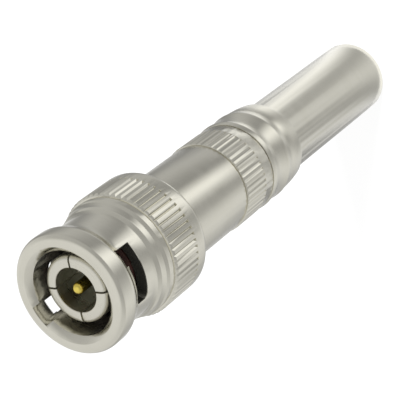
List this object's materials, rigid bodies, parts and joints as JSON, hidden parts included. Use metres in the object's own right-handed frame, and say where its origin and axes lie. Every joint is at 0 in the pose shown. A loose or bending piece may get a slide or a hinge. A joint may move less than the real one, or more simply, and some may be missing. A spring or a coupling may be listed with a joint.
{
  "type": "bayonet coaxial plug",
  "caption": "Metal bayonet-lock coaxial plug with a fluted turning ring, gold pin in a slotted contact, smooth barrel, screw-on rear nut and plain tail tube.",
  "frame": {"origin": "centre of the tail tube's end, on the surface that the plug stands on", "axes": "+Z along the plug's axis towards the mating face; +X through the stud grooves, within a few degrees"},
  "size_m": [0.0153, 0.0152, 0.0675],
  "materials": {
    "nickel_polished": "bright nickel plate",
    "nickel_turned": "nickel plate over fine turning marks",
    "gold_plate": "bright gold plate",
    "insulator_white": "waxy white",
    "gasket_rubber": "matt",
    "spring_steel": "satin",
    "tinned_clamp": "satin"
  },
  "bodies": {
    "tail": {"tail_tube": "nickel_turned"},
    "nut": {"rear_nut": "nickel_turned"},
    "front": {"barrel": "nickel_turned", "contact_body": "nickel_polished", "centre_pin": "gold_plate", "front_insulator": "insulator_white", "rear_insulator": "insulator_white", "support_bead": "insulator_white", "face_gasket": "gasket_rubber", "wave_washer": "spring_steel", "cable_clamp": "tinned_clamp", "insulating_sleeve": "insulator_white"},
    "washer": {"thrust_washer": "spring_steel"},
    "ring": {"coupling_ring": "nickel_polished"}
  },
  "joints": [
    {"name": "nut_turn", "type": "hinge", "parent": "tail", "child": "nut", "pos_m": [0, 0, 0.03], "axis": [0, 0, -1], "range_deg": [0, 2160]},
    {"name": "front_lift", "type": "slide", "parent": "tail", "child": "front", "axis": [0, 0, 1], "range_m": [0, 0.0045]},
    {"name": "washer_slide", "type": "slide", "parent": "front", "child": "washer", "axis": [0, 0, 1], "range_m": [0, 0.0004], "stiffness_N_per_m": 2000, "springref_m": -0.0004, "deforming": ["wave_washer"]},
    {"name": "ring_spin", "type": "hinge", "parent": "washer", "child": "ring", "pos_m": [0, 0, 0.059], "axis": [0, 0, 1], "continuous": true}
  ],
  "couplings": [
    {"joint": "nut_turn", "follows": "front_lift", "rad_per_m": 8377.6}
  ]
}
